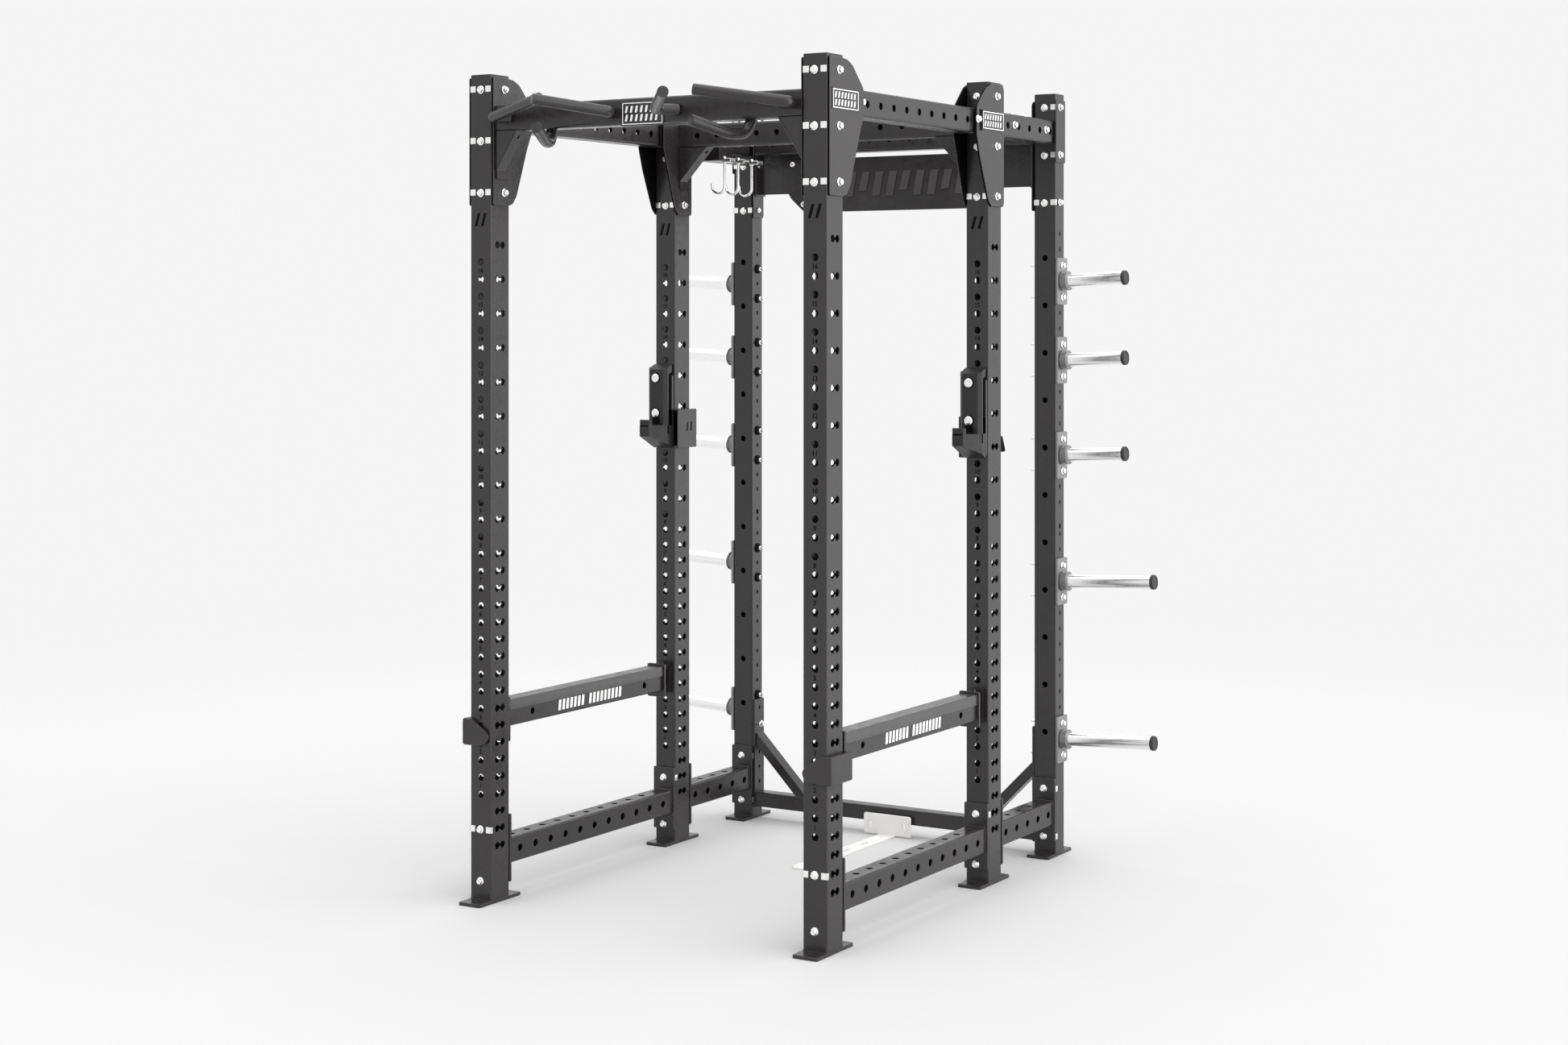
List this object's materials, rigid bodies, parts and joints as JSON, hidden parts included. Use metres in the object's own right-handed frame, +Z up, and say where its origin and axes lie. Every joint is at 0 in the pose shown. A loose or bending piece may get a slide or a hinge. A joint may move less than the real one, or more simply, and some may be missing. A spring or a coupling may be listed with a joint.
{
  "type": "power cage",
  "caption": "Upright-post weight training cage with top and base rails, pull-up grips, storage horns, bar cups and swing-out safety bars.",
  "frame": {"origin": "centre of the footprint on the floor", "axes": "+Z up, +X to the right of a person facing the front, +Y to the rear where the storage horns are"},
  "size_m": [1.8812, 1.795, 2.449],
  "materials": {
    "powder_coat": "satin charcoal powder coat",
    "chrome_tube": "bright chrome",
    "zinc_steel": "bright zinc plate",
    "black_plastic": "moulded satin black",
    "pale_coat": "pale satin coat"
  },
  "bodies": {
    "frame": {"upright_front_right": "powder_coat", "upright_front_left": "powder_coat", "upright_middle_right": "powder_coat", "upright_middle_left": "powder_coat", "upright_rear_right": "powder_coat", "upright_rear_left": "powder_coat", "base_rail_front_right": "powder_coat", "base_rail_front_left": "powder_coat", "base_rail_rear_right": "powder_coat", "base_rail_rear_left": "powder_coat", "top_rail_front_right": "powder_coat", "top_rail_front_left": "powder_coat", "top_rail_rear_right": "powder_coat", "top_rail_rear_left": "powder_coat", "grip_outer_right": "powder_coat", "grip_outer_left": "powder_coat", "grip_inner_right": "powder_coat", "grip_inner_left": "powder_coat", "grip_lower_right": "powder_coat", "grip_lower_left": "powder_coat", "safety_pivot_right": "powder_coat", "safety_pivot_left": "powder_coat", "top_beam_front": "powder_coat", "top_beam_middle": "powder_coat", "top_beam_rear": "powder_coat", "sign_panel": "powder_coat", "base_beam_rear": "powder_coat", "hook_rack": "powder_coat", "horn_1_right": "chrome_tube", "horn_1_left": "chrome_tube", "horn_cap_1_right": "black_plastic", "horn_cap_1_left": "black_plastic", "horn_2_right": "chrome_tube", "horn_2_left": "chrome_tube", "horn_cap_2_right": "black_plastic", "horn_cap_2_left": "black_plastic", "horn_3_right": "chrome_tube", "horn_3_left": "chrome_tube", "horn_cap_3_right": "black_plastic", "horn_cap_3_left": "black_plastic", "horn_4_right": "chrome_tube", "horn_4_left": "chrome_tube", "horn_cap_4_right": "black_plastic", "horn_cap_4_left": "black_plastic", "horn_5_right": "chrome_tube", "horn_5_left": "chrome_tube", "horn_cap_5_right": "black_plastic", "horn_cap_5_left": "black_plastic", "storage_hook_1": "zinc_steel", "storage_hook_2": "zinc_steel", "storage_hook_3": "zinc_steel", "floor_tie": "pale_coat"},
    "cup_right": {"cup_bracket_right": "powder_coat", "cup_liner_right": "black_plastic"},
    "safety_right": {"safety_bar_right": "powder_coat", "safety_liner_right": "black_plastic"},
    "cup_left": {"cup_bracket_left": "powder_coat", "cup_liner_left": "black_plastic"},
    "safety_left": {"safety_bar_left": "powder_coat", "safety_liner_left": "black_plastic"}
  },
  "joints": [
    {"name": "cup_right_pull_off", "type": "slide", "parent": "frame", "child": "cup_right", "axis": [-1, 0, 0], "range_m": [0, 0.11]},
    {"name": "cup_left_pull_off", "type": "slide", "parent": "frame", "child": "cup_left", "axis": [1, 0, 0], "range_m": [0, 0.11]},
    {"name": "safety_right_swing", "type": "hinge", "parent": "frame", "child": "safety_right", "pos_m": [0.5744, 0.27154, 0.55], "axis": [0, 0, 1], "range_deg": [0, 60]},
    {"name": "safety_left_swing", "type": "hinge", "parent": "frame", "child": "safety_left", "pos_m": [-0.5744, 0.27154, 0.55], "axis": [0, 0, -1], "range_deg": [0, 60]}
  ]
}
